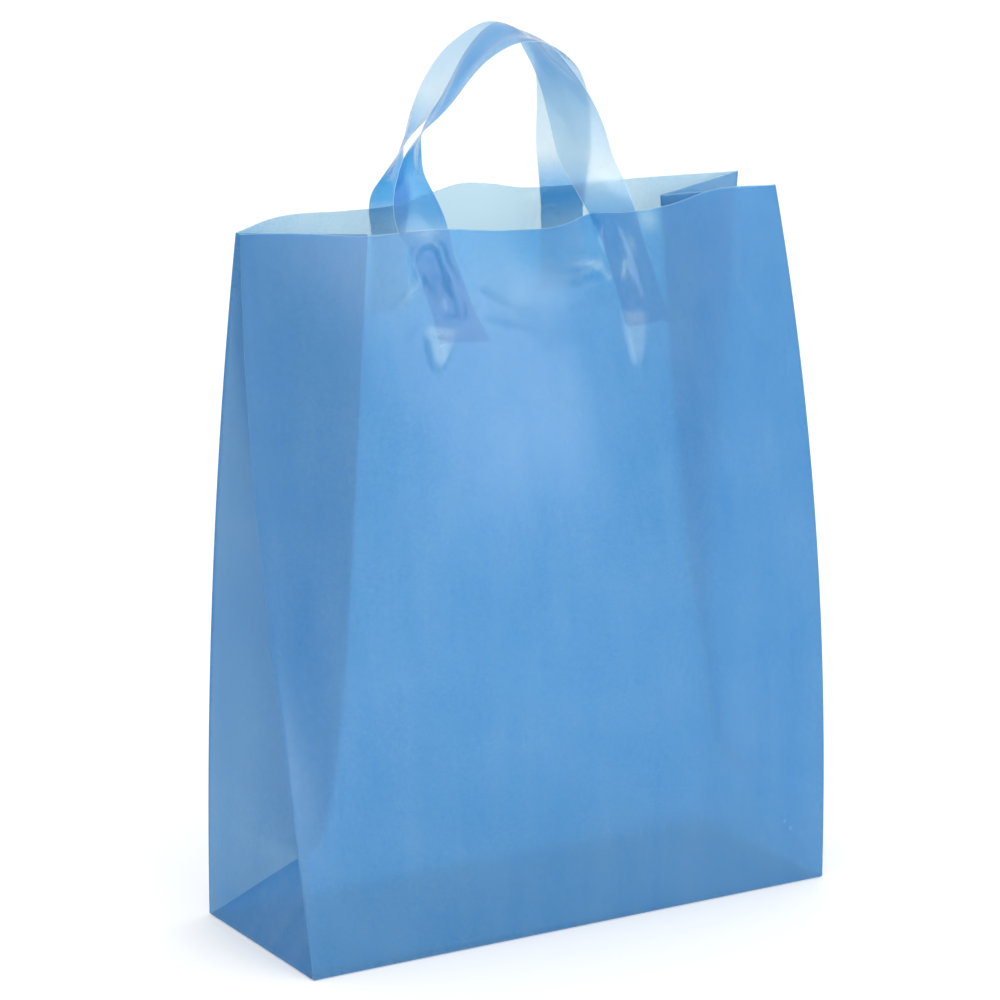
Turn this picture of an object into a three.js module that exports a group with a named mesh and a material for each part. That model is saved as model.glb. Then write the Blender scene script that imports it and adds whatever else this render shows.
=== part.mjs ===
// Plastic carrier bag: a gusseted tube of frosted film with a squared base, and two flat film
// handles welded to the inside of its front and back panels. Millimetres, +Z up.
// The origin is the middle of the base, on the surface that the bag stands on. The front panel
// faces -Y. The side gussets are flat at the base and tuck in between the panels on the way up.
import * as THREE from 'three';

// Driving dimensions
const WIDTH = 406;               // across the front and back panels
const DEPTH = 152;               // front to back at the base
const MOUTH_HEIGHT = 482;        // of the mouth's corners
const HANDLE_HEIGHT = 599;       // of the handles' middle line at the top of the loop
const STRAP_WIDTH = 38;
const WELD_BOTTOM = 0.845;       // how far up the panels the welded strap ends start
const STRAP_CLEAR = 1.015;       // how far up, past the mouth, the straps stay in line with them
const FILM = 0.4;                // wall of the solid; the real film is about 0.1 mm
const GAP = 0.4;                 // between the strap and the panel that it is welded to

// Gusset
const CREASE_APEX = 68;          // up the gusset, where its two base creases meet the centre fold
const GUSSET_SPREAD = [12, 7];   // how much deeper than DEPTH / 2 the left and right ones tuck
const GUSSET_SWING = [-12, 0];   // how far the centre folds stand off the middle at the mouth
const FOLD_NOSE = 1.2;           // width of the rounded nose of the centre fold
const FOLD_DROP = 6;             // how far the centre folds' tops hang below the mouth's corners
const CREASE_START = 0.97;       // the base creases start just inside the corners

// Panels
const MOUTH_FLARE = [0, 3];      // how far the mouth's corners stand outside the base's
const FRONT_BULGE = { depth: 36, halfTurns: 0.75 };  // half turns of a sine, base to mouth
const BACK_BULGE = { depth: 26, halfTurns: 0.5 };
const MOUTH_SAG = 9;             // of the front edge of the mouth, between the handles
const BACK_CREST = 7;            // of the back edge of the mouth, beside the left handle

// Mesh steps
const PANEL_STEPS = 22;
const GUSSET_STEPS = 3;
const TRIANGLE_ROWS = 4;
const WALL_ROWS = 14;
const ROW_CROWDING = 1.3;        // above 1 the wall's rows lie closer towards the base
const LEAST_MITRE = 0.08;        // cosine that limits how far a sharp fold's inner corner runs
const STRAP_STEPS = 4;           // across a strap
const WELD_ROWS = 6;
const LOOP_ROWS = 44;

const FRONT = -1;
const BACK = 1;
const LEFT = -1;
const RIGHT = 1;
const sideIndex = (side) => (side === LEFT ? 0 : 1);
const lerp = THREE.MathUtils.lerp;

// The four upright edges between panel and gusset. Each starts at a corner of the base and leans
// in to its own place at the mouth; lean gives how far in it is, 0 to 1, at a height of 0 to 1.
const edges = {
  [FRONT]: {
    [LEFT]: { mouthY: 13, mouthZ: MOUTH_HEIGHT - 3, lean: (s) => Math.sin(0.5 * Math.PI * s) ** 1.1 },
    [RIGHT]: { mouthY: 0, mouthZ: MOUTH_HEIGHT, lean: (s) => s ** 2.2 },
  },
  [BACK]: {
    [LEFT]: { mouthY: 19, mouthZ: MOUTH_HEIGHT - 3, lean: (s) => s ** 2 },
    [RIGHT]: { mouthY: 46, mouthZ: MOUTH_HEIGHT + 4, lean: (s) => s ** 1.8 },
  },
};

function edgePoint(face, side, s) {
  const edge = edges[face][side];
  const baseY = face * DEPTH / 2;
  const x = side * (WIDTH / 2 + MOUTH_FLARE[sideIndex(side)] * s);
  return new THREE.Vector3(x, lerp(baseY, edge.mouthY, edge.lean(s)), edge.mouthZ * s);
}

// A point on the front or back panel: t runs 0 to 1 from its left edge to its right edge, and s
// runs 0 to 1 from the base to the mouth.
function panelPoint(face, t, s) {
  const point = edgePoint(face, LEFT, s).lerp(edgePoint(face, RIGHT, s), t);
  const arch = Math.sin(Math.PI * t);
  const bulge = face === FRONT ? FRONT_BULGE : BACK_BULGE;
  point.y += face * bulge.depth * Math.sin(bulge.halfTurns * Math.PI * s) * arch;
  point.z += s ** 3 * (face === FRONT ? -MOUTH_SAG * arch ** 2 : BACK_CREST * arch ** 6);
  return point;
}

// The gusset's centre fold, half the gusset in from both of its edges.
function foldPoint(side, s) {
  const front = edgePoint(FRONT, side, s);
  const back = edgePoint(BACK, side, s);
  const half = DEPTH / 2 + GUSSET_SPREAD[sideIndex(side)] * s;
  const inward = Math.sqrt(half ** 2 - (front.distanceTo(back) / 2) ** 2);
  const point = front.lerp(back, 0.5);
  point.x -= side * inward;
  point.y += GUSSET_SWING[sideIndex(side)] * s ** 2;
  return point;
}

// The crease point nearer to the front or back edge. Below the apex the two creases bound a
// triangle that leans into the bag; above it they run together as the centre fold.
function creasePoint(side, face, s) {
  const apexS = CREASE_APEX / MOUTH_HEIGHT;
  const apex = foldPoint(side, apexS);
  const inward = WIDTH / 2 - Math.abs(apex.x);
  const apexZ = Math.sqrt(CREASE_APEX ** 2 - inward ** 2);
  if (s >= apexS) {
    const point = foldPoint(side, s);
    point.z = lerp(apexZ, point.z - FOLD_DROP, (s - apexS) / (1 - apexS));
    point.y += face * FOLD_NOSE / 2;
    return point;
  }
  const rise = s / apexS;
  const spread = lerp(CREASE_START * DEPTH / 2, FOLD_NOSE / 2, rise);
  const x = side * (WIDTH / 2 - inward * rise);
  return new THREE.Vector3(x, apex.y * rise + face * spread, apexZ * rise);
}

// One turn round the bag at height s, counterclockwise from above, from the front left edge.
function ring(s) {
  const points = [];
  const run = (from, to, steps) => {
    for (let i = 0; i < steps; i += 1) points.push(from.clone().lerp(to, i / steps));
  };
  for (let i = 0; i < PANEL_STEPS; i += 1) points.push(panelPoint(FRONT, i / PANEL_STEPS, s));
  run(edgePoint(FRONT, RIGHT, s), creasePoint(RIGHT, FRONT, s), GUSSET_STEPS);
  run(creasePoint(RIGHT, FRONT, s), creasePoint(RIGHT, BACK, s), 2);
  run(creasePoint(RIGHT, BACK, s), edgePoint(BACK, RIGHT, s), GUSSET_STEPS);
  for (let i = PANEL_STEPS; i > 0; i -= 1) points.push(panelPoint(BACK, i / PANEL_STEPS, s));
  run(edgePoint(BACK, LEFT, s), creasePoint(LEFT, BACK, s), GUSSET_STEPS);
  run(creasePoint(LEFT, BACK, s), creasePoint(LEFT, FRONT, s), 2);
  run(creasePoint(LEFT, FRONT, s), edgePoint(FRONT, LEFT, s), GUSSET_STEPS);
  return points;
}

// The same turn moved in by the film's thickness, level, with true mitres at the corners.
function insideRing(points, lift) {
  return points.map((point, i) => {
    const before = points[(i + points.length - 1) % points.length];
    const after = points[(i + 1) % points.length];
    const a = new THREE.Vector2(point.x - before.x, point.y - before.y).normalize();
    const b = new THREE.Vector2(after.x - point.x, after.y - point.y).normalize();
    const normal = new THREE.Vector2(-a.y - b.y, a.x + b.x).normalize();
    const mitre = FILM / Math.max(normal.dot(new THREE.Vector2(-a.y, a.x)), LEAST_MITRE);
    return new THREE.Vector3(point.x + normal.x * mitre, point.y + normal.y * mitre, point.z + lift);
  });
}

// A geometry from rings of equal length, each joined to the next, with two end caps if asked.
// isInner(r, i) tells which faces are on the film's other side. They are split along their other
// diagonal, so that the two sides of the film stay parallel.
function solidFromRings(rings, isInner, caps) {
  const position = rings.flat().flatMap((point) => point.toArray());
  const size = rings[0].length;
  const index = [];
  for (let r = 0; r + 1 < rings.length; r += 1) {
    for (let i = 0; i < size; i += 1) {
      const j = (i + 1) % size;
      const [a, b, c, d] = [r * size + i, r * size + j, (r + 1) * size + j, (r + 1) * size + i];
      if (isInner(r, i)) index.push(a, b, d, b, c, d);
      else index.push(a, b, c, a, c, d);
    }
  }
  const addCap = (r, faceDown) => {
    const outline = rings[r].map((point) => new THREE.Vector2(point.x, point.y));
    for (const [a, b, c] of THREE.ShapeUtils.triangulateShape(outline, [])) {
      if (faceDown) index.push(r * size + a, r * size + c, r * size + b);
      else index.push(r * size + a, r * size + b, r * size + c);
    }
  };
  if (caps) {
    addCap(0, true);
    addCap(rings.length - 1, false);
  }
  const geometry = new THREE.BufferGeometry();
  geometry.setAttribute('position', new THREE.Float32BufferAttribute(position, 3));
  geometry.setIndex(index);
  geometry.computeVertexNormals();
  return geometry;
}

// The bag's film: up the outside from the base to the mouth, over the rim, and down the inside.
function bagGeometry() {
  const apexS = CREASE_APEX / MOUTH_HEIGHT;
  const heights = [];
  for (let i = 0; i < TRIANGLE_ROWS; i += 1) heights.push(apexS * i / TRIANGLE_ROWS);
  for (let i = 0; i <= WALL_ROWS; i += 1) {
    heights.push(lerp(apexS, 1, (i / WALL_ROWS) ** ROW_CROWDING));
  }
  const outside = heights.map(ring);
  const inside = outside.map((points, i) => insideRing(points, i === 0 ? FILM : 0));
  return solidFromRings([...outside, ...inside.reverse()], (r) => r >= outside.length, true);
}

// Loops of the two handles, from the left weld to the right one. Each row is a point on the
// middle line, then the turn of the strap about the upright: 0 lies along the panel and 90 has
// the strap's inner edge pointing to the back. The inner edge is the one beside the loop's hole.
// The last number is how many degrees the inner edge is tipped up.
const loops = {
  [FRONT]: {
    weldX: [-62, -84, 58, 75],
    stations: [
      [-86, -4, 506, 32, -2],
      [-84, -3, 523, 44, -2],
      [-77, -1, 536, 57, -3],
      [-67, 0, 547, 65, -2],
      [-57, 0, 558, 71, 1],
      [-34, 0, 585, 80, 8],
      [-12, 0, HANDLE_HEIGHT - 1, 88, 15],
      [5, 0, HANDLE_HEIGHT - 3, 97, 13],
      [20, 0, 580, 109, 10],
      [32, 0, 561, 121, 8],
      [43, 0, 535, 135, 4],
      [51, -1, 510, 147, 2],
    ],
  },
  [BACK]: {
    weldX: [-68, -75, 67, 72],
    stations: [
      [-71, 49, 501, 50, -1],
      [-66, 49, 515, 56, -1],
      [-60, 48, 529, 66, -1],
      [-51, 47, 542, 78, 3],
      [-34, 45, 565, 91, 7],
      [-17, 44, 582, 97, 11],
      [12, 43, HANDLE_HEIGHT - 4, 98, 15],
      [37, 43, 589, 101, 13],
      [51, 45, 576, 108, 8],
      [59, 47, 560, 118, 5],
      [63, 49, 542, 131, 3],
      [65, 52, 518, 146, 2],
    ],
  },
};

// The turn about the upright, in degrees from -90 to 270, that a row of a strap already has.
function turnOf(row) {
  const across = row[row.length - 1].clone().sub(row[0]);
  const turn = THREE.MathUtils.radToDeg(Math.atan2(across.y, across.x));
  return turn < -90 ? turn + 360 : turn;
}

// A strap's rows of points, each from the outer edge to the inner edge.
function strapRows(face) {
  const { weldX, stations } = loops[face];
  const inward = -face * (FILM + GAP + FILM / 2);
  // One row across the weld: side is which end of the strap, and s how far up the panel it lies.
  const weldRow = (side, s) => {
    const rise = (s - WELD_BOTTOM) / (STRAP_CLEAR - WELD_BOTTOM);
    const [bottom, top] = side === LEFT ? [weldX[0], weldX[1]] : [weldX[3], weldX[2]];
    const row = [];
    for (let i = 0; i <= STRAP_STEPS; i += 1) {
      const x = lerp(bottom, top, rise) - side * STRAP_WIDTH * (i / STRAP_STEPS - 0.5);
      const point = panelPoint(face, 0.5 + x / WIDTH, s);
      point.y += inward;
      row.push(point);
    }
    return row;
  };
  const middleOf = (row) => row[0].clone().lerp(row[STRAP_STEPS], 0.5);
  const first = weldRow(LEFT, STRAP_CLEAR);
  const last = weldRow(RIGHT, STRAP_CLEAR);
  const middles = stations.map(([x, y, z]) => new THREE.Vector3(x, y, z));
  const centres = [middleOf(first), ...middles, middleOf(last)];
  const turns = [turnOf(first), ...stations.map((st) => st[3]), turnOf(last)];
  const leans = [0, ...stations.map((st) => st[4]), 0];
  const curve = new THREE.CatmullRomCurve3(centres);

  const weldHeight = (r) => lerp(WELD_BOTTOM, STRAP_CLEAR, r / WELD_ROWS);
  const rows = [];
  for (let r = 0; r <= WELD_ROWS; r += 1) rows.push(weldRow(LEFT, weldHeight(r)));
  for (let r = 1; r < LOOP_ROWS; r += 1) {
    const along = r / LOOP_ROWS * (turns.length - 1);
    const k = Math.min(Math.floor(along), turns.length - 2);
    const turn = THREE.MathUtils.degToRad(lerp(turns[k], turns[k + 1], along - k));
    const lean = THREE.MathUtils.degToRad(lerp(leans[k], leans[k + 1], along - k));
    const tangent = curve.getTangent(r / LOOP_ROWS);
    const level = Math.cos(lean);
    const across = new THREE.Vector3(Math.cos(turn) * level, Math.sin(turn) * level, Math.sin(lean));
    across.addScaledVector(tangent, -across.dot(tangent)).normalize();
    const centre = curve.getPoint(r / LOOP_ROWS);
    const row = [];
    for (let i = 0; i <= STRAP_STEPS; i += 1) {
      row.push(centre.clone().addScaledVector(across, STRAP_WIDTH * (i / STRAP_STEPS - 0.5)));
    }
    rows.push(row);
  }
  for (let r = WELD_ROWS; r >= 0; r -= 1) rows.push(weldRow(RIGHT, weldHeight(r)));
  return rows;
}

// A strap as a closed solid: every row of points becomes a flat ring FILM thick.
function strapGeometry(face) {
  const rows = strapRows(face);
  const rings = rows.map((row, r) => {
    const ahead = rows[Math.min(r + 1, rows.length - 1)];
    const behind = rows[Math.max(r - 1, 0)];
    const shifted = (sign) => row.map((point, i) => {
      const along = ahead[i].clone().sub(behind[i]);
      const across = row[Math.min(i + 1, STRAP_STEPS)].clone().sub(row[Math.max(i - 1, 0)]);
      const normal = along.cross(across).normalize();
      return point.clone().addScaledVector(normal, sign * FILM / 2);
    });
    return [...shifted(-1), ...shifted(1).reverse()];
  });
  return closedStrip(rings);
}

// Joins a strap's rings and closes its two ends.
function closedStrip(rings) {
  const size = rings[0].length;
  const geometry = solidFromRings(rings, (r, i) => i >= size / 2, false);
  const index = Array.from(geometry.index.array);
  const last = (rings.length - 1) * size;
  for (let i = 0; i + 1 < size / 2; i += 1) {
    const [a, b, c, d] = [i, i + 1, size - 2 - i, size - 1 - i];
    index.push(a, c, b, a, d, c);
    index.push(last + a, last + b, last + c, last + a, last + c, last + d);
  }
  geometry.setIndex(index);
  return geometry;
}

function named(name, geometry, color) {
  const material = new THREE.MeshStandardMaterial({ color, roughness: 0.5, metalness: 0 });
  const mesh = new THREE.Mesh(geometry, material);
  mesh.name = name;
  return mesh;
}

const bag = new THREE.Group();
bag.add(named('bag_body', bagGeometry(), 0x6aa1d9));
bag.add(named('front_handle', strapGeometry(FRONT), 0x9cc8e8));
bag.add(named('back_handle', strapGeometry(BACK), 0xa8d0ec));

export default bag;
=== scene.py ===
import math

import bpy
import numpy as np
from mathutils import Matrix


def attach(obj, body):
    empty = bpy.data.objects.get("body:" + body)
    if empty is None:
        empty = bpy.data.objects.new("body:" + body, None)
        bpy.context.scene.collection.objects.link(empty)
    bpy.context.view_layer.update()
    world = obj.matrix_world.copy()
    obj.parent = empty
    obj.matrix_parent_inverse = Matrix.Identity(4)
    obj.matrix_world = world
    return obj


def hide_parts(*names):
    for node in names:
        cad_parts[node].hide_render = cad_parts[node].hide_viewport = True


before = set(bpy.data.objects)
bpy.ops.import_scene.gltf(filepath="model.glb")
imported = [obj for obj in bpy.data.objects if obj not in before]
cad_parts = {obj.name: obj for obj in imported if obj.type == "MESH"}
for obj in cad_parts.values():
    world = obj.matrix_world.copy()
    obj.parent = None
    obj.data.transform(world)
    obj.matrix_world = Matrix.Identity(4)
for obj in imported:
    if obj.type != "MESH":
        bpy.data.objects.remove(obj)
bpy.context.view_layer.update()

# ---------------------------------------------------------------------------------------------
# Camera
# ---------------------------------------------------------------------------------------------

camera_data = bpy.data.cameras.new("camera")
camera_data.lens = 133.6
camera_data.sensor_width = 36.0
camera_data.clip_end = 50.0
camera = bpy.data.objects.new("camera", camera_data)
camera.location = (-1.267, -2.097, 0.857)
camera.rotation_euler = (math.radians(90 - 13.21), 0, math.radians(-30.81))
bpy.context.scene.collection.objects.link(camera)
bpy.context.scene.camera = camera

# ---------------------------------------------------------------------------------------------
# The bag's measurements, in millimetres, as the CAD has them
# ---------------------------------------------------------------------------------------------

FRONT, BACK, LEFT, RIGHT = -1, 1, -1, 1

WIDTH, DEPTH = 406.0, 152.0
MOUTH_HEIGHT = 482.0
FRONT_BULGE, BACK_BULGE = 36, 26     # how far the panels' middles stand out
FRONT_SAG, BACK_RISE = 9, 7          # how the mouth's edge sinks at the front and rises at the back
CREASE_APEX = 68.0                   # height of the base triangles' tips
CREASE_START = 0.97                  # where their sides start on the base, as a share of its half depth
FOLD_DROP = 6.0                      # how far the gussets' folds end below the mouth
FOLD_NOSE = 1.2                      # width of those folds
GUSSET_SPREAD = {LEFT: 12.0, RIGHT: 7.0}   # how much wider a gusset's halves are at the mouth
GUSSET_SWING = {LEFT: -12.0, RIGHT: 0.0}   # how far its fold swings towards the front there
MOUTH_FLARE = {LEFT: 0.0, RIGHT: 3.0}      # how far its outer edges spread there
STRAP_WIDTH = 38.0
WELD_BOTTOM, STRAP_CLEAR = 0.845, 1.015    # where a strap starts on its panel and leaves it, of its height

FILM = 0.22          # shown thickness of the film
STRAP_INSET = 2.5 * FILM   # how far a strap's welded end lies inside its panel's outer face
EDGE_RADIUS = 0.8    # of the folds between panel and gusset
FOLD_RADIUS = -0.35  # of the folds that turn the other way
FOOT = 0.8           # rounding where the walls meet the base

# Painted light and shade: how much paler than its own blue the film is painted, from about -0.2 to 1
BACK_PAINTED_LIGHT = 0.36, 0.85    # painted light on the slack back panel, low down and at its mouth
# painted light on the base, lifting it out of its shade
BASE_PAINTED_LIGHT = 0.2
EDGE_PAINTED_HIGHLIGHT = 0.55          # painted highlight along the film's free edges
CREASE_PAINTED_SHADE = -0.16       # painted shade on the base triangles' sides
# painted light and shade on each part of the two gussets
GUSSET_PAINTED_LIGHT_SHADE = {
    "right_front_half": 0.13, "right_triangle": 0.4, "right_back_half": 0.15,
    "left_front_half": -0.04, "left_triangle": 0.0, "left_back_half": 0.22,
}

# The four upright edges: depth and height at the mouth, and how the edge leans there on its way up
EDGES = {
    (FRONT, LEFT): (13.0, MOUTH_HEIGHT - 3, lambda s: np.sin(0.5 * np.pi * s) ** 1.1),
    (FRONT, RIGHT): (0.0, MOUTH_HEIGHT, lambda s: s ** 2.2),
    (BACK, LEFT): (19.0, MOUTH_HEIGHT - 3, lambda s: s ** 2),
    (BACK, RIGHT): (46.0, MOUTH_HEIGHT + 4, lambda s: s ** 1.8),
}


def lerp(a, b, t):
    """From a at t = 0 to b at t = 1."""
    return a + (b - a) * t


def stack(x, y, z):
    """Points from their coordinates."""
    x, y, z = np.broadcast_arrays(x, y, z)
    return np.stack([x, y, z], axis=-1).astype(float)


def smooth(a, b, v):
    """0 on a's side, 1 on b's side and a smooth step between."""
    t = np.clip((v - a) / (b - a), 0, 1)
    return t * t * (3 - 2 * t)


def curve(xs, ys, at):
    """A smooth line through the points (xs, ys), read at the given places."""
    xs, ys, at = np.asarray(xs, float), np.asarray(ys, float), np.asarray(at, float)
    slope = np.gradient(ys, xs)
    k = np.clip(np.searchsorted(xs, at) - 1, 0, len(xs) - 2)
    h = xs[k + 1] - xs[k]
    t = np.clip((at - xs[k]) / h, 0, 1)
    a, b = ys[k], ys[k + 1]
    ma, mb = slope[k] * h, slope[k + 1] * h
    from_a = (2 * t**3 - 3 * t**2 + 1) * a + (t**3 - 2 * t**2 + t) * ma
    return from_a + (3 * t**2 - 2 * t**3) * b + (t**3 - t**2) * mb


def edge_point(face, side, s):
    """The upright edge between a panel and a gusset, s running from the base to the mouth."""
    y, z, lean = EDGES[face, side]
    return stack(side * (WIDTH / 2 + MOUTH_FLARE[side] * s), lerp(face * DEPTH / 2, y, lean(s)), z * s)


def panel_point(face, t, s):
    """A point on the plain front or back panel: t from its left edge to its right, s from base to mouth."""
    t, s = np.broadcast_arrays(np.asarray(t, float), np.asarray(s, float))
    p = lerp(edge_point(face, LEFT, s), edge_point(face, RIGHT, s), t[..., None])
    arch = np.sin(np.pi * np.clip(t, 0, 1))
    if face == FRONT:
        p[..., 1] -= FRONT_BULGE * np.sin(0.75 * np.pi * s) * arch
        p[..., 2] -= s**3 * FRONT_SAG * arch**2
    else:
        p[..., 1] += BACK_BULGE * np.sin(0.5 * np.pi * s) * arch
        p[..., 2] += s**3 * BACK_RISE * arch**6
    return p


def fold_point(side, s):
    """The gusset's middle fold, its halves keeping their widths."""
    front, back = edge_point(FRONT, side, s), edge_point(BACK, side, s)
    half = DEPTH / 2 + GUSSET_SPREAD[side] * s
    apart = np.linalg.norm(front - back, axis=-1) / 2
    p = (front + back) / 2
    p[..., 0] -= side * np.sqrt(half**2 - apart**2)
    p[..., 1] += GUSSET_SWING[side] * s**2
    return p


def crease_point(face, side, s):
    """The gusset's crease nearer to the front or back: the base triangle's side, then the centre fold."""
    apex_s = CREASE_APEX / MOUTH_HEIGHT
    apex = fold_point(side, np.array(apex_s))
    inward = WIDTH / 2 - abs(apex[0])
    apex_z = math.sqrt(CREASE_APEX**2 - inward**2)
    above = fold_point(side, s)
    above[..., 2] = lerp(apex_z, above[..., 2] - FOLD_DROP, (s - apex_s) / (1 - apex_s))
    above[..., 1] += face * FOLD_NOSE / 2
    rise = np.clip(s / apex_s, 0, 1)
    spread = lerp(CREASE_START * DEPTH / 2, FOLD_NOSE / 2, rise)
    below = stack(side * (WIDTH / 2 - inward * rise), apex[1] * rise + face * spread, apex_z * rise)
    return np.where((s >= apex_s)[..., None], above, below)


# ---------------------------------------------------------------------------------------------
# The bag: one continuous sheet of film, grown ring by ring and closed by the base
# ---------------------------------------------------------------------------------------------

def spaced(places):
    """Numbers from the first place to the last: [(start, step of the stretch from there), ..., (end, 0)]."""
    out = []
    for (a, step), (b, _) in zip(places, places[1:]):
        n = max(1, round((b - a) / step))
        out += [a + (b - a) * i / n for i in range(n)]
    return np.array(out + [places[-1][0]])


# The grid's rows and columns, closer where the film is creased
HEIGHTS = spaced([(0, 1.6), (8, 6), (68, 8), (330, 5), (375, 2.2), (480.4, 0.8), (482, 0)]) / MOUTH_HEIGHT
PANEL_T = 0.5 + spaced([
    (-203, 1.5), (-197, 5), (-125, 3), (-104, 2.2), (-44, 4), (44, 2.2), (104, 3), (125, 5), (197, 1.5),
    (203, 0),
]) / WIDTH
HALF_W = spaced([(0, 0.02), (0.08, 0.1), (0.92, 0.02), (1, 0)])
TRIANGLE_W = spaced([(0, 0.1), (0.4, 0.05), (0.6, 0.1), (1, 0)])
ARC = 4             # steps round each fold
FOLD_REACH = 7.0    # how far from a fold the film is drawn to its rounding


def direction(v):
    """Unit vectors of v, seen from above."""
    d = v[..., :2]
    return d / np.maximum(np.linalg.norm(d, axis=-1, keepdims=True), 1e-9)


def corner_arc(corner, into, out_of, radius):
    """Points round a fold of the ring, from the direction of travel into it to the one out of it."""
    n_in = np.stack([into[:, 1], -into[:, 0]], -1)
    n_out = np.stack([out_of[:, 1], -out_of[:, 0]], -1)
    a = np.arctan2(n_in[:, 1], n_in[:, 0])
    turn = np.arctan2(n_out[:, 1], n_out[:, 0]) - a
    turn = (turn + np.pi) % (2 * np.pi) - np.pi
    if radius > 0:
        turn = np.where(turn < -0.5, turn + 2 * np.pi, turn)
    else:
        turn = np.where(turn > 0.5, turn - 2 * np.pi, turn)
    middle = a + turn / 2
    centre = corner[:, :2] - radius * np.stack([np.cos(middle), np.sin(middle)], -1)
    out = []
    for i in range(ARC + 1):
        at = a + turn * i / ARC
        p = corner.copy()
        p[:, :2] = centre + radius * np.stack([np.cos(at), np.sin(at)], -1)
        out.append(p)
    return out


RING = [
    ("edge", FRONT, RIGHT), ("crease", FRONT, RIGHT), ("crease", BACK, RIGHT), ("edge", BACK, RIGHT),
    ("edge", BACK, LEFT), ("crease", BACK, LEFT), ("crease", FRONT, LEFT), ("edge", FRONT, LEFT),
]


def ring_corners(s):
    """The eight folds of the ring at every height, as sharp corners and as rounded ones."""
    corners = {}
    for kind, face, side in RING:
        point = edge_point if kind == "edge" else crease_point
        corners[kind, face, side] = point(face, side, s)
    near = 4 / WIDTH    # a place on the panel 4 mm from its edge shows which way the panel leaves the edge
    arcs = {}
    for k, key in enumerate(RING):
        kind, face, side = key
        here = corners[key]
        into = direction(here - corners[RING[k - 1]])
        out_of = direction(corners[RING[(k + 1) % len(RING)]] - here)
        if kind == "edge":
            along = direction(here - panel_point(face, 1 - near if side == RIGHT else near, s))
            if face * side < 0:
                into = along
            else:
                out_of = -along
        arcs[key] = corner_arc(here, into, out_of, EDGE_RADIUS if kind == "edge" else FOLD_RADIUS)
    return corners, arcs


def bag_grid():
    """The outside of the film as rows by columns of points, and which columns are whose."""
    s = HEIGHTS
    corners, arcs = ring_corners(s)
    columns, kinds = [], []

    def run(first, last, make, places, kind):
        """Columns between two folds, drawn to the folds' rounded ends."""
        start, end = arcs[first][-1], arcs[last][0]
        raw_start, raw_end = corners[first], corners[last]
        length = np.linalg.norm((raw_end - raw_start)[:, :2], axis=-1)
        for w in places[1:-1]:
            p = make(w)
            d0 = np.linalg.norm((p - raw_start)[:, :2], axis=-1)
            d1 = np.linalg.norm((p - raw_end)[:, :2], axis=-1)
            k = np.minimum(FOLD_REACH, length / 3) + 1e-6
            p = p + (start - raw_start) * np.exp(-((d0 / k) ** 2))[:, None]
            p = p + (end - raw_end) * np.exp(-((d1 / k) ** 2))[:, None]
            columns.append(p)
            kinds.append(kind)

    def fold(key):
        columns.extend(arcs[key])
        kinds.extend([key[0] + "_fold"] * len(arcs[key]))

    def gusset(folds, names):
        for a, b, name in zip(folds, folds[1:], names):
            places = TRIANGLE_W if name.endswith("triangle") else HALF_W
            run(a, b, lambda w: lerp(corners[a], corners[b], w), places, name)
            if b != RING[-1]:
                fold(b)

    fold(RING[-1])
    run(RING[-1], RING[0], lambda t: panel_point(FRONT, t, s), PANEL_T, "front")
    fold(RING[0])
    gusset(RING[:4], ("right_front_half", "right_triangle", "right_back_half"))
    run(RING[3], RING[4], lambda t: panel_point(BACK, t, s), PANEL_T[::-1], "back")
    fold(RING[4])
    gusset(RING[4:], ("left_back_half", "left_triangle", "left_front_half"))
    return np.stack(columns, axis=1), np.array(kinds)


def foot_rows(grid):
    """Lifts the walls' lowest rows a little and adds the two rows that round them into the base."""
    s = HEIGHTS[:, None]
    grid = grid.copy()
    grid[..., 2] += FOOT * np.exp(-((s / 0.012) ** 2))
    ring = grid[0]
    half = np.array([WIDTH / 2, DEPTH / 2])
    rows = []
    for angle in (90, 45):
        inset = FOOT * (1 - math.cos(math.radians(angle)))
        row = ring.copy()
        row[:, :2] = ring[:, :2] * (1 - inset / half)
        row[:, 2] = FOOT * (1 - math.sin(math.radians(angle)))
        rows.append(row)
    return np.concatenate([np.stack(rows), grid])


def segment(x, z, a, b):
    """Distance from a segment, and how far along it the nearest place is."""
    a, b = np.array(a, float), np.array(b, float)
    d = b - a
    t = np.clip(((x - a[0]) * d[0] + (z - a[1]) * d[1]) / d.dot(d), 0, 1)
    return np.hypot(x - a[0] - d[0] * t, z - a[1] - d[1] * t), t


def ridge(x, z, a, b, width, height, taper=0.0):
    """A raised crease along a segment; it narrows and fades toward b by the taper."""
    d, t = segment(x, z, a, b)
    w = width * (1 - taper * t)
    return height * (1 - taper * t) * np.exp(-((d / w) ** 2))


def blob(x, z, centre, size, height):
    """A soft round mound."""
    return height * np.exp(-(((x - centre[0]) / size[0]) ** 2) - ((z - centre[1]) / size[1]) ** 2)


def wedge(x, z, top, tip, half, height):
    """A pinch under a weld: a flat-sided tongue from its wide top to its tip."""
    d, t = segment(x, z, top, tip)
    inside = (t > 0) & (t < 1)
    w = half * (1 - t) ** 0.8 + 0.6
    return height * smooth(1.5, 0.6, d / w) * smooth(0, 0.12, t) * smooth(1.0, 0.6, t) * inside


def weld_relief(x, z, top, bottom):
    """The pressed oval that welds a strap to the panel, with its puckered rim."""
    d, t = segment(x, z, top, bottom)
    across = (x - lerp(top[0], bottom[0], t)) / 10
    uneven = 0.42 + 0.2 * across + 0.35 * np.sin(5 * t + 1)
    rim = uneven * np.exp(-(((d - 10 + 1.5 * np.sin(9 * t)) / 3.2) ** 2))
    rim = rim - 0.2 * np.exp(-(((d - 15) / 4) ** 2))
    bowl = -0.8 * smooth(11, 3, d) + (0.8 * np.sin(7 * t + 0.4) - 0.6 * across) * np.exp(-((d / 4.5) ** 2))
    return rim + bowl


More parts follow.
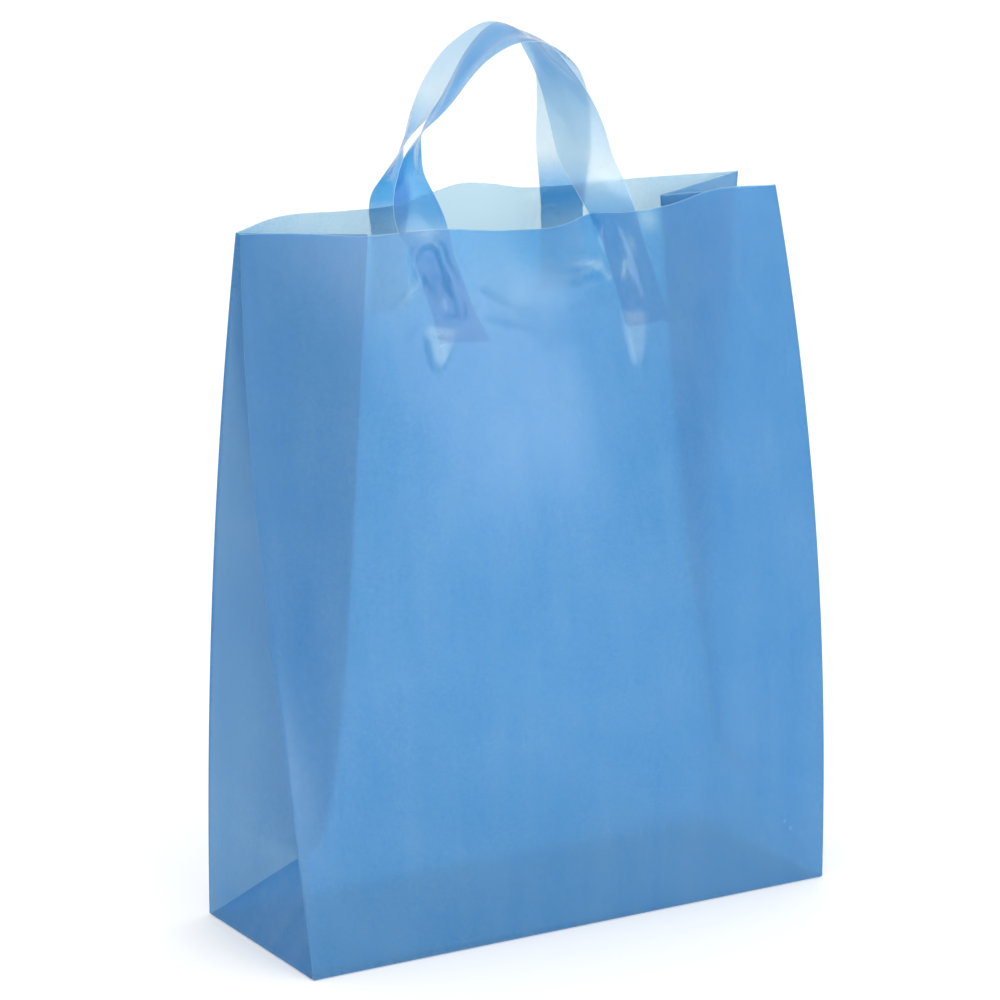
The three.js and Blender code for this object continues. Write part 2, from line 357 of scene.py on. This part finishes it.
def swell(x, z, seed):
    """Slow unevenness of slack film."""
    rng = np.random.RandomState(seed)
    out = np.zeros(np.broadcast(x, z).shape)
    for _ in range(9):
        angle = rng.uniform(0, np.pi)
        k = 2 * np.pi / rng.uniform(70, 210)
        height = rng.uniform(0.1, 0.3)
        out = out + height * np.sin(k * (np.cos(angle) * x + np.sin(angle) * z) + rng.uniform(0, 6.3))
    return out * 0.45 * smooth(200, 170, abs(x)) * smooth(4, 60, z)


# x and z on the plain front panel, in millimetres; the back panel has nearly the same
LEFT_WELD, RIGHT_WELD = ((-80, 456), (-71, 424)), ((59, 458), (67, 423))    # the ovals' tops and bottoms
LEFT_TIP, RIGHT_TIP = (-82, 381), (62, 371)                                 # of the pinches below them
BACK_SCALE, BACK_SHIFT = 0.985, 1                                           # how the back panel's x differ
SWELL_SEEDS = {FRONT: 3, BACK: 8}
CREASES = (                                                                 # start, end, width, height
    ((44, 446), (18, 452), 1.8, 1.2), ((45, 440), (12, 438), 2.2, 1.3), ((46, 434), (22, 425), 2.0, 1.0),
    ((-88, 442), (-104, 426), 3.0, 0.9), ((-48, 432), (-24, 420), 2.4, 0.8),
    ((-44, 413), (-14, 404), 1.8, 0.7), ((86, 440), (104, 446), 2.6, 0.7),
    ((92, 424), (112, 418), 3.0, 0.5), ((-84, 418), (-100, 404), 2.6, 0.5),
    ((198, 474), (168, 452), 1.6, 0.6), ((196, 462), (172, 436), 2.0, 0.5),
    ((201, 448), (184, 415), 2.2, 0.5), ((-199, 470), (-176, 446), 1.8, 0.5),
    ((188, 30), (150, 62), 3.0, 0.7), ((-190, 26), (-166, 50), 2.6, 0.5),
)


def dents(face, x, z):
    """How far the film stands out of its plain panel at a place, in millimetres."""
    if face == BACK:
        x = x * BACK_SCALE + BACK_SHIFT
    out = swell(x, z, SWELL_SEEDS[face])
    out = out + weld_relief(x, z, *LEFT_WELD)
    out = out + weld_relief(x, z, *RIGHT_WELD)
    out = out + wedge(x, z, (-77, 407), LEFT_TIP, 9, 0.9)
    out = out + wedge(x, z, (66, 407), RIGHT_TIP, 9, 0.9)
    out = out + blob(x, z, (-20, 428), (24, 14), -2.2)
    out = out + blob(x, z, (-18, 399), (30, 9), 0.8)
    out = out + ridge(x, z, (45, 479), (46, 453), 5, -2.6, 0.75)
    for start, end, width, height in CREASES:
        out = out + ridge(x, z, start, end, width, height, 0.6)
    out = out + blob(x, z, (88, 470), (8, 9), 1.6)
    out = out + blob(x, z, (-79, 478), (7, 8), 1.2)
    return out * smooth(203, 194, abs(x))


def front_painted_light_and_shade(x, z):
    """The front panel's painted light and shade: painted highlights on its pinches, dents and creases,
    painted shade along other creases and on the left weld.
    """
    # Painted highlights on the pinches, dents and creases
    painted_highlights = (
        wedge(x, z, (-76, 414), LEFT_TIP, 9, 0.3),
        wedge(x, z, (66, 414), RIGHT_TIP, 9, 0.26),
        blob(x, z, (-22, 430), (32, 18), 0.12),
        blob(x, z, (-79, 476), (7, 9), 0.4),
        blob(x, z, (88, 470), (8, 8), 0.4),
        blob(x, z, (71, 454), (4, 6), 0.25),
        blob(x, z, (-72, 427), (2, 4), 0.3),
        blob(x, z, (66, 440), (6, 11), 0.1),
        ridge(x, z, (65, 443), (62, 434), 1.6, 0.4),
        ridge(x, z, (44, 442), (20, 446), 3, 0.3, 0.7),
        ridge(x, z, (50, 434), (38, 444), 2, 0.3, 0.5),
        ridge(x, z, (-90, 440), (-102, 428), 4, 0.2, 0.4),
    )
    # Painted shade along creases, in the fold by the right weld and on the left weld
    painted_shade = (
        ridge(x, z, (46, 481), (46, 454), 7, 0.2, 0.8),
        ridge(x, z, (-58, 418), (-72, 419), 2.5, 0.1),
        ridge(x, z, *LEFT_WELD, 11, 0.09),
        ridge(x, z, (-30, 410), (-46, 416), 4, 0.06, 0.5),
        ridge(x, z, (44, 436), (20, 433), 2.5, 0.14, 0.6),
    )
    return sum(painted_highlights) - sum(painted_shade)


MOUTH_WAVES = {   # places along the mouth, and how far its edge rises there
    FRONT: (
        (-203, -165, -125, -69, -20, 27, 36, 75, 112, 143, 204),
        (0, -1, -3, 1.7, -0.6, 0.9, 3.6, 1.2, 0.4, 4, 0),
    ),
    BACK: (
        (-203, -176, -108, -68, -33, -16, 10, 37, 62, 107, 204),
        (0, 5, 1.7, -1.8, 1.3, 3.1, 0.4, -3.6, -3, 0, 0),
    ),
}


def mouth_wave(face, x, z):
    """The free edge's rise and fall, fading out below the mouth."""
    xs, ys = MOUTH_WAVES[face]
    return curve(xs, ys, x) * smooth(410, 480, z)


def shape_panels(grid, kinds):
    """Works the dents and mouth waves into the grid, and gives every point's painted light and shade."""
    pale = np.zeros(grid.shape[:2])
    for face, name in ((FRONT, "front"), (BACK, "back")):
        at = kinds == name
        x, z = grid[:, at, 0], grid[:, at, 2]
        if face == FRONT:
            # Painted highlights and painted shade on the front panel
            pale[:, at] = front_painted_light_and_shade(x, z)
        else:
            # Painted light on the back panel: lighter towards its mouth and towards its middle
            pale[:, at] = lerp(*BACK_PAINTED_LIGHT, smooth(385, 460, z)) * (1 - 0.5 * (abs(x - 20) / 210) ** 1.5)
        grid[:, at, 1] += face * dents(face, x, z)
        grid[:, at, 2] += mouth_wave(face, x, z)
    # Painted highlight along the mouth's free edge
    pale[-1] += EDGE_PAINTED_HIGHLIGHT
    # Painted light and shade on each part of the gussets
    for name, tone in GUSSET_PAINTED_LIGHT_SHADE.items():
        pale[:, kinds == name] += tone
    # Painted shade on the base triangles' sides and their creases, below the triangles' tips
    painted_shade = np.isin(kinds, ("crease_fold", "right_triangle", "left_triangle"))
    low = HEIGHTS < CREASE_APEX / MOUTH_HEIGHT
    pale[np.ix_(low, painted_shade)] += CREASE_PAINTED_SHADE
    return grid, pale


def sheet_mesh(name, outer, faces, rim, paleness):
    """A thin closed shell from the outside's points and quads: the inside is the same surface moved in."""
    outer = np.asarray(outer)
    corners = np.array(faces)
    tris = np.concatenate([corners[:, [0, 1, 2]], corners[:, [0, 2, 3]]])
    n = np.cross(outer[tris[:, 1]] - outer[tris[:, 0]], outer[tris[:, 2]] - outer[tris[:, 0]])
    normal = np.zeros_like(outer)
    for k in range(3):
        np.add.at(normal, tris[:, k], n)
    normal /= np.maximum(np.linalg.norm(normal, axis=1, keepdims=True), 1e-12)
    count = len(outer)
    points = np.concatenate([outer, outer - normal * FILM])
    all_faces = list(faces) + [tuple(count + v for v in reversed(f)) for f in faces]
    all_faces += [(b, a, count + a, count + b) for a, b in zip(rim, rim[1:])]
    mesh = bpy.data.meshes.new(name)
    mesh.from_pydata((points * 0.001).tolist(), [], all_faces)
    on_face = np.arange(len(all_faces)) < 2 * len(faces)
    mesh.polygons.foreach_set("use_smooth", on_face)
    mesh.polygons.foreach_set("material_index", (~on_face).astype(int))
    # The film's free edges stay sharp, so that the shading of its faces doesn't bend round them
    on_rim = np.zeros(len(points), bool)
    on_rim[rim] = on_rim[np.add(rim, count)] = True
    ends = np.zeros(2 * len(mesh.edges), int)
    mesh.edges.foreach_get("vertices", ends)
    ends = ends.reshape(-1, 2)
    sharp = on_rim[ends].all(1) & (abs(ends[:, 1] - ends[:, 0]) != count)
    mesh.edges.foreach_set("use_edge_sharp", sharp)
    pale = mesh.attributes.new("pale", "FLOAT", "POINT")
    pale.data.foreach_set("value", np.tile(paleness, 2))
    mesh.update()
    obj = bpy.data.objects.new(name, mesh)
    bpy.context.scene.collection.objects.link(obj)
    return obj


def base_patch(ring):
    """Where the base meets the ring: columns along its front, right, back and left, corner to corner."""
    cols = len(ring)
    panel = len(PANEL_T) - 2
    end = (cols - 2 * panel) // 2
    sides, at = [], ARC // 2
    for steps in (panel + ARC, end - ARC, panel + ARC, end - ARC):
        sides.append([c % cols for c in range(at, at + steps + 1)])
        at = sides[-1][-1]
    front, right, back, left = sides
    return front, right, back[::-1], left[::-1]


def base_grid(ring, first):
    """The base, stretched between its four sides: its index grid, and its new points, numbered from first."""
    front, right, back, left = base_patch(ring)
    index = np.zeros((len(right), len(front)), int)
    index[0], index[-1] = front, back
    index[:, -1], index[:, 0] = right, left
    f, b, w, e = ring[front], ring[back], ring[left], ring[right]
    u = (f[:, 0] - f[0, 0]) / (f[-1, 0] - f[0, 0])
    v = (e[:, 1] - e[0, 1]) / (e[-1, 1] - e[0, 1])
    points = []
    for j in range(1, len(right) - 1):
        for i in range(1, len(front) - 1):
            p = lerp(f[i], b[i], v[j]) + lerp(w[j], e[j], u[i])
            p = p - lerp(lerp(f[0], f[-1], u[i]), lerp(b[0], b[-1], u[i]), v[j])
            index[j, i] = first + len(points)
            points.append(p)
    return index, points


def quads(index):
    """The quads of an index grid."""
    rows, cols = index.shape
    return [
        (index[r, c], index[r, c + 1], index[r + 1, c + 1], index[r + 1, c])
        for r in range(rows - 1) for c in range(cols - 1)
    ]


def bag_body():
    """The tube of panels and gussets, with its base."""
    grid, kinds = bag_grid()
    grid, pale = shape_panels(grid, kinds)
    pale = np.concatenate([pale[:1], pale[:1], pale])
    grid = foot_rows(grid)
    walls = np.arange(pale.size).reshape(pale.shape)
    walls = np.concatenate([walls, walls[:, :1]], axis=1)
    base, inner = base_grid(grid[0], pale.size)
    points = np.concatenate([grid.reshape(-1, 3), inner])
    # Painted light on the base's own points
    paleness = np.concatenate([pale.reshape(-1), np.full(len(inner), BASE_PAINTED_LIGHT)])
    return sheet_mesh("bag_film", points, quads(walls) + quads(base.T), list(walls[-1, ::-1]), paleness)


# ---------------------------------------------------------------------------------------------
# The handles: film straps that run from inside the panel, up over a loop, and back
# ---------------------------------------------------------------------------------------------

# Each handle: the x of its left weld's bottom and top and its right weld's top and bottom, then stations
# along its loop: the place of the strap's middle, its turn about the vertical and its lean, in degrees
LOOPS = {
    FRONT: ([-62, -84, 58, 75], [
        (-86, -4, 506, 28, -2), (-84, -3, 523, 43, -2), (-77, -1, 536, 57, -3), (-67, 0, 547, 65, -2),
        (-57, 0, 558, 71, 1), (-34, 0, 585, 80, 8), (-12, 0, 598, 88, 15), (5, 0, 596, 97, 13),
        (20, 0, 580, 109, 10), (32, 0, 561, 121, 8), (43, 0, 535, 135, 4), (51, -1, 510, 147, 2),
    ]),
    BACK: ([-68, -75, 67, 72], [
        (-71, 49, 501, 36, -1), (-66, 49, 515, 52, -1), (-60, 48, 529, 65, -1), (-51, 47, 542, 78, 3),
        (-34, 45, 565, 91, 7), (-17, 44, 582, 97, 11), (12, 43, 595, 98, 15), (37, 43, 589, 101, 13),
        (51, 45, 576, 108, 8), (59, 47, 560, 118, 5), (63, 49, 542, 131, 3), (65, 52, 518, 146, 2),
    ]),
}
# Places along a strap, 0 and 1 being its loop's ends, and the straps' painted light and shade there
TONE_PLACES = (-0.29, -0.15, -0.05, 0, 0.15, 0.25, 0.35, 0.5, 0.6, 0.95, 1, 1.05, 1.15, 1.29)
STRAP_PAINTED_LIGHT_SHADE = {
    FRONT: (-0.12, -0.12, 0.4, 0.1, -0.1, -0.12, -0.12, 0.2, 0.15, 0.7, 0.35, 0.1, 0.2, -0.05),
    BACK: (0.8, 0.6, 0.3, 0.0, -0.12, 0.1, 0.6, 0.45, 0.3, 0.7, 0.3, 0.0, 0.5, 0.8),
}
ACROSS = np.concatenate([[-0.5, -0.484], np.linspace(-0.45, 0.45, 13), [0.484, 0.5]])
WELD_ROWS, LOOP_ROWS = 44, 150
WELD_GATHER = {LEFT: 0.24, RIGHT: 0.12}   # how much the pressed weld draws the strap in
RIPPLE = 0.7                              # height of the loops' ripples


def weld_row(face, side, s):
    """One row of a strap's welded end, s being how far up the panel it lies."""
    weld_x = LOOPS[face][0]
    bottom, top = weld_x[:2] if side == LEFT else weld_x[:1:-1]
    gathered = 1 - WELD_GATHER[side] * smooth(WELD_BOTTOM - 0.04, 0.91, s) * smooth(STRAP_CLEAR, 0.96, s)
    x = lerp(bottom, top, (s - WELD_BOTTOM) / (STRAP_CLEAR - WELD_BOTTOM))
    x = x - side * STRAP_WIDTH * gathered * ACROSS
    p = panel_point(face, 0.5 + x / WIDTH, s)
    plain_x, plain_z = p[:, 0].copy(), p[:, 2].copy()
    p[:, 1] += face * dents(face, plain_x, plain_z) - face * STRAP_INSET
    p[:, 2] += mouth_wave(face, plain_x, plain_z)
    return p


def turn_of(row):
    """A row's direction seen from above, in degrees, from -90 up."""
    v = row[-1] - row[0]
    turn = math.degrees(math.atan2(v[1], v[0]))
    return turn + 360 if turn < -90 else turn


def catmull(points, n):
    """n + 1 points along a centripetal Catmull-Rom curve through the given ones, and their tangents."""
    p = np.asarray(points, float)
    p = np.concatenate([[2 * p[0] - p[1]], p, [2 * p[-1] - p[-2]]])
    out, tangents = [], []
    spans = len(p) - 3
    for i in range(n + 1):
        at = min(i / n * spans, spans - 1e-9)
        k = int(at)
        q = p[k:k + 4]
        t = [0.0]
        for a, b in zip(q, q[1:]):
            t.append(t[-1] + max(np.linalg.norm(b - a), 1e-6) ** 0.5)

        def point(u):
            a1 = [lerp(q[j], q[j + 1], (u - t[j]) / (t[j + 1] - t[j])) for j in range(3)]
            a2 = [lerp(a1[j], a1[j + 1], (u - t[j]) / (t[j + 2] - t[j])) for j in range(2)]
            return lerp(a2[0], a2[1], (u - t[1]) / (t[2] - t[1]))

        u = lerp(t[1], t[2], at - k)
        h = 1e-3 * (t[2] - t[1])
        ahead = point(u + h) - point(u - h)
        out.append(point(u))
        tangents.append(ahead / np.linalg.norm(ahead))
    return np.array(out), np.array(tangents)


def strap_rows(face):
    """A strap's rows, up its left weld, over its loop and down its right weld."""
    stations = LOOPS[face][1]
    first, last = weld_row(face, LEFT, STRAP_CLEAR), weld_row(face, RIGHT, STRAP_CLEAR)
    centres = [first.mean(0)] + [st[:3] for st in stations] + [last.mean(0)]
    turns = [turn_of(first)] + [st[3] for st in stations] + [turn_of(last)]
    leans = [0] + [st[4] for st in stations] + [0]
    centre, tangent = catmull(centres, LOOP_ROWS)
    heights = np.linspace(WELD_BOTTOM, STRAP_CLEAR, WELD_ROWS + 1)
    rows = [weld_row(face, LEFT, s) for s in heights]
    for r in range(1, LOOP_ROWS):
        at = r / LOOP_ROWS * (len(turns) - 1)
        turn = math.radians(float(curve(range(len(turns)), turns, [at])[0]))
        lean = math.radians(float(curve(range(len(leans)), leans, [at])[0]))
        across = np.array([math.cos(turn) * math.cos(lean), math.sin(turn) * math.cos(lean), math.sin(lean)])
        slack = smooth(0, 0.14, r / LOOP_ROWS) * smooth(1, 0.86, r / LOOP_ROWS)
        wave = np.sin(2 * np.pi * (1.3 * ACROSS + 0.5 * math.sin(r / 17) + face * 0.2))
        flat = centre[r] + STRAP_WIDTH * ACROSS[:, None] * across
        rows.append(flat + RIPPLE * slack * wave[:, None] * np.cross(across, tangent[r]))
    rows += [weld_row(face, RIGHT, s) for s in heights[::-1]]
    return eased(np.array(rows), WELD_ROWS - 1)


def eased(grid, bend):
    """Softens the bends where a strap leaves its welds, bend rows from each end."""
    at = np.arange(len(grid))
    from_bend = np.minimum(abs(at - bend), abs(at - (len(grid) - 1 - bend)))
    weight = np.exp(-((from_bend / 7.0) ** 2))
    for _ in range(60):
        mean = grid.copy()
        mean[1:-1] = (grid[:-2] + 2 * grid[1:-1] + grid[2:]) / 4
        grid = lerp(grid, mean, weight[:, None, None])
    return grid


def strap(name, face):
    """One handle, from weld to weld."""
    grid = strap_rows(face)
    rows, cols = grid.shape[:2]
    index = np.arange(rows * cols).reshape(rows, cols)
    rim = list(index[0]) + list(index[1:, -1]) + list(index[-1, -2::-1]) + list(index[-2::-1, 0])
    # Painted light and shade along the strap
    tones = np.interp((np.arange(rows) - WELD_ROWS) / LOOP_ROWS, TONE_PLACES, STRAP_PAINTED_LIGHT_SHADE[face])
    pale = np.repeat(tones[:, None], cols, axis=1)
    # Painted highlight along the strap's two free edges
    pale[:, [0, -1]] += EDGE_PAINTED_HIGHLIGHT
    return sheet_mesh(name, grid.reshape(-1, 3), quads(index), rim, pale.reshape(-1))


# ---------------------------------------------------------------------------------------------
# Materials
# ---------------------------------------------------------------------------------------------

def film_material(name, deep, pale, neutral, roughness, milk, grain):
    """Frosted film, from deep to pale as the painted light and shade on its points ask, with grain and faint
    streaks.

    neutral is how far plain film is from deep to pale, and milk is its share that scatters light.
    """
    mat = bpy.data.materials.new(name)
    mat.use_nodes = True
    nodes, links = mat.node_tree.nodes, mat.node_tree.links
    shader = nodes["Principled BSDF"]
    shader.inputs["Transmission Weight"].default_value = 1 - milk
    shader.inputs["IOR"].default_value = 1.36
    place = nodes.new("ShaderNodeTexCoord").outputs["Object"]

    def noise(scale, detail, stretch=(1, 1, 1)):
        """A noise from 0 to 1, drawn out along the axes that stretch makes small."""
        mapping = nodes.new("ShaderNodeMapping")
        mapping.inputs["Scale"].default_value = stretch
        links.new(place, mapping.inputs["Vector"])
        node = nodes.new("ShaderNodeTexNoise")
        node.inputs["Scale"].default_value = scale
        node.inputs["Detail"].default_value = detail
        links.new(mapping.outputs["Vector"], node.inputs["Vector"])
        return node.outputs["Fac"]

    def math_node(operation, a, b):
        """A Math node's output, each input being a number or a link."""
        node = nodes.new("ShaderNodeMath")
        node.operation = operation
        for socket, value in zip(node.inputs, (a, b)):
            if isinstance(value, (int, float)):
                socket.default_value = value
            else:
                links.new(value, socket)
        return node.outputs[0]

    def about_zero(fac, size):
        """A noise's spread round 0."""
        return math_node("MULTIPLY", math_node("SUBTRACT", fac, 0.5), size)

    # The 'pale' attribute holds the painted light and shade, which move the colour from deep to pale
    tone = nodes.new("ShaderNodeAttribute")
    tone.attribute_name = "pale"
    streaks = about_zero(noise(60, 3, (1, 1, 0.04)), 0.14)
    clouds = about_zero(noise(14, 4), 0.2)
    speckle = about_zero(noise(600, 2), 0.3 * grain)
    mix = nodes.new("ShaderNodeMix")
    mix.data_type = "RGBA"
    mix.inputs["A"].default_value = (*deep, 1)
    mix.inputs["B"].default_value = (*pale, 1)
    uneven = math_node("ADD", streaks, math_node("ADD", clouds, speckle))
    total = math_node("ADD", tone.outputs["Fac"], uneven)
    factor = math_node("ADD", total, neutral)
    factor.node.use_clamp = True
    links.new(factor, mix.inputs["Factor"])
    links.new(mix.outputs["Result"], shader.inputs["Base Color"])
    rough = math_node("ADD", about_zero(noise(25, 3), 0.08), roughness)
    links.new(rough, shader.inputs["Roughness"])
    bump = nodes.new("ShaderNodeBump")
    bump.inputs["Strength"].default_value = 0.25 * grain
    bump.inputs["Distance"].default_value = 0.0003
    links.new(math_node("ADD", noise(900, 3), noise(120, 2, (1, 1, 0.15))), bump.inputs["Height"])
    links.new(bump.outputs["Normal"], shader.inputs["Normal"])
    return mat


def cut_edge_material():
    mat = bpy.data.materials.new("cut_edge")
    mat.use_nodes = True
    shader = mat.node_tree.nodes["Principled BSDF"]
    shader.inputs["Base Color"].default_value = (0.62, 0.83, 0.95, 1)
    shader.inputs["Roughness"].default_value = 0.4
    shader.inputs["Transmission Weight"].default_value = 0.4
    return mat


def floor_material():
    mat = bpy.data.materials.new("studio_floor")
    mat.use_nodes = True
    shader = mat.node_tree.nodes["Principled BSDF"]
    shader.inputs["Base Color"].default_value = (0.9, 0.9, 0.9, 1)
    shader.inputs["Roughness"].default_value = 0.9
    shader.inputs["Emission Color"].default_value = (1, 1, 1, 1)
    shader.inputs["Emission Strength"].default_value = 0.15
    return mat


# ---------------------------------------------------------------------------------------------
# Assembly
# ---------------------------------------------------------------------------------------------

body = bag_body()
front_strap = strap("front_strap", FRONT)
back_strap = strap("back_strap", BACK)

frosted = film_material(
    "frosted_film", deep=(0.018, 0.355, 0.745), pale=(0.68, 0.88, 0.95),
    neutral=0.22, roughness=0.17, milk=0.3, grain=1.0,
)
clear = film_material(
    "handle_film", deep=(0.03, 0.38, 0.79), pale=(0.84, 0.93, 0.92),
    neutral=0.12, roughness=0.15, milk=0.15, grain=0.8,
)
cut_edge = cut_edge_material()
for piece, film in ((body, frosted), (front_strap, clear), (back_strap, clear)):
    piece.data.materials.append(film)
    piece.data.materials.append(cut_edge)

for piece, node, slot in (
    (body, "bag_body", "frosted_film"),
    (front_strap, "front_handle", "handle_film"),
    (back_strap, "back_handle", "handle_film"),
):
    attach(piece, "root")
    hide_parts(node)

FLOOR_HALF, FLOOR_DROP = 8, -0.0004
mesh = bpy.data.meshes.new("floor")
corners = [(x * FLOOR_HALF, y * FLOOR_HALF, FLOOR_DROP) for x, y in ((-1, -1), (1, -1), (1, 1), (-1, 1))]
mesh.from_pydata(corners, [], [(0, 1, 2, 3)])
floor = bpy.data.objects.new("floor", mesh)
bpy.context.scene.collection.objects.link(floor)
floor.data.materials.append(floor_material())

world = bpy.data.worlds.new("studio")
world.use_nodes = True
world.node_tree.nodes["Background"].inputs["Color"].default_value = (1, 1, 1, 1)
world.node_tree.nodes["Background"].inputs["Strength"].default_value = 1.1
bpy.context.scene.world = world


def area_light(name, place, target, size, power):
    """A rectangular light that points from its place to its target."""
    data = bpy.data.lights.new(name, "AREA")
    data.shape = "RECTANGLE"
    data.size, data.size_y = size
    data.energy = power
    light = bpy.data.objects.new(name, data)
    light.location = place
    x, y, z = np.array(target) - np.array(place)
    light.rotation_euler = (math.atan2(math.hypot(x, y), -z), 0, math.atan2(y, x) - math.pi / 2)
    bpy.context.scene.collection.objects.link(light)


area_light("key", (0.35, -2.2, 1.0), (0, 0, 0.35), (1.2, 1.2), 15)

scene = bpy.context.scene
scene.view_settings.view_transform = "Standard"
scene.cycles.max_bounces = 32
scene.cycles.transmission_bounces = 28
scene.cycles.glossy_bounces = 6
scene.cycles.transparent_max_bounces = 16
